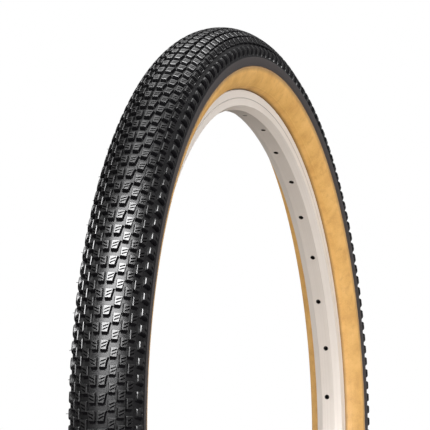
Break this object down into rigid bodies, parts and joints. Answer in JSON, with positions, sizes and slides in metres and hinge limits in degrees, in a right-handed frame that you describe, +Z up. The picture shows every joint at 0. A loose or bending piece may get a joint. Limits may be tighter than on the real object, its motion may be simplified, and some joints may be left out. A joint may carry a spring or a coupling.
{
  "type": "bicycle tire",
  "caption": "Knobbly black tire with tan sidewalls, inflated on a double-wall aluminium rim drilled for spokes, with inner tube and screw-capped valve.",
  "frame": {"origin": "wheel centre, on the spin axis and on the middle plane of the rim", "axes": "+Y along the spin axis, +Z up, valve at the bottom (2.94 degrees towards -X from -Z)"},
  "size_m": [0.6748, 0.055, 0.6748],
  "materials": {
    "tread_rubber": "semi-gloss black rubber",
    "tan_rubber": "matte tan rubber",
    "cord_fabric": "rubberised cord",
    "chafer_fabric": "woven black tape",
    "bead_wire": "bronze-washed steel wire",
    "tube_rubber": "matte black butyl",
    "strip_rubber": "matte rubber band",
    "rim_aluminium": "satin anodised",
    "sleeve_aluminium": "mill finish",
    "brass": "plain turned",
    "steel": "plain wire",
    "seal_rubber": "matte",
    "cap_plastic": "moulded black"
  },
  "bodies": {
    "wheel": {"tread": "tread_rubber", "breaker_strip": "cord_fabric", "casing_ply_inner": "cord_fabric", "casing_ply_outer": "cord_fabric", "sidewall_left": "tan_rubber", "sidewall_right": "tan_rubber", "chafer_left": "chafer_fabric", "chafer_right": "chafer_fabric", "bead_core_left": "bead_wire", "bead_core_right": "bead_wire", "inner_tube": "tube_rubber", "rim_strip": "strip_rubber", "rim": "rim_aluminium", "rim_joint_sleeve": "sleeve_aluminium", "valve_patch": "tube_rubber", "valve_stem_rubber": "tube_rubber", "valve_stem": "brass", "valve_core_barrel": "brass", "valve_core_gasket": "seal_rubber", "valve_core_spring": "steel"},
    "valve_pin": {"valve_core_pin": "brass", "valve_core_seal": "seal_rubber"},
    "cap_ring": {"valve_cap_gasket": "seal_rubber"},
    "cap": {"valve_cap": "cap_plastic"}
  },
  "joints": [
    {"name": "valve_pin_slide", "type": "slide", "parent": "wheel", "child": "valve_pin", "axis": [-0.0513, 0, -0.9987], "range_m": [0, 0.0012], "stiffness_N_per_m": 900, "springref_m": -0.002, "deforming": ["valve_core_spring"]},
    {"name": "cap_travel", "type": "slide", "parent": "wheel", "child": "cap_ring", "axis": [0.0513, 0, 0.9987], "range_m": [0, 0.00992]},
    {"name": "cap_turn", "type": "hinge", "parent": "cap_ring", "child": "cap", "pos_m": [-0.01241, 0, -0.24168], "axis": [0.0513, 0, 0.9987], "range_deg": [0, 4501]}
  ],
  "couplings": [
    {"joint": "cap_turn", "follows": "cap_travel", "rad_per_m": 7915.8}
  ]
}
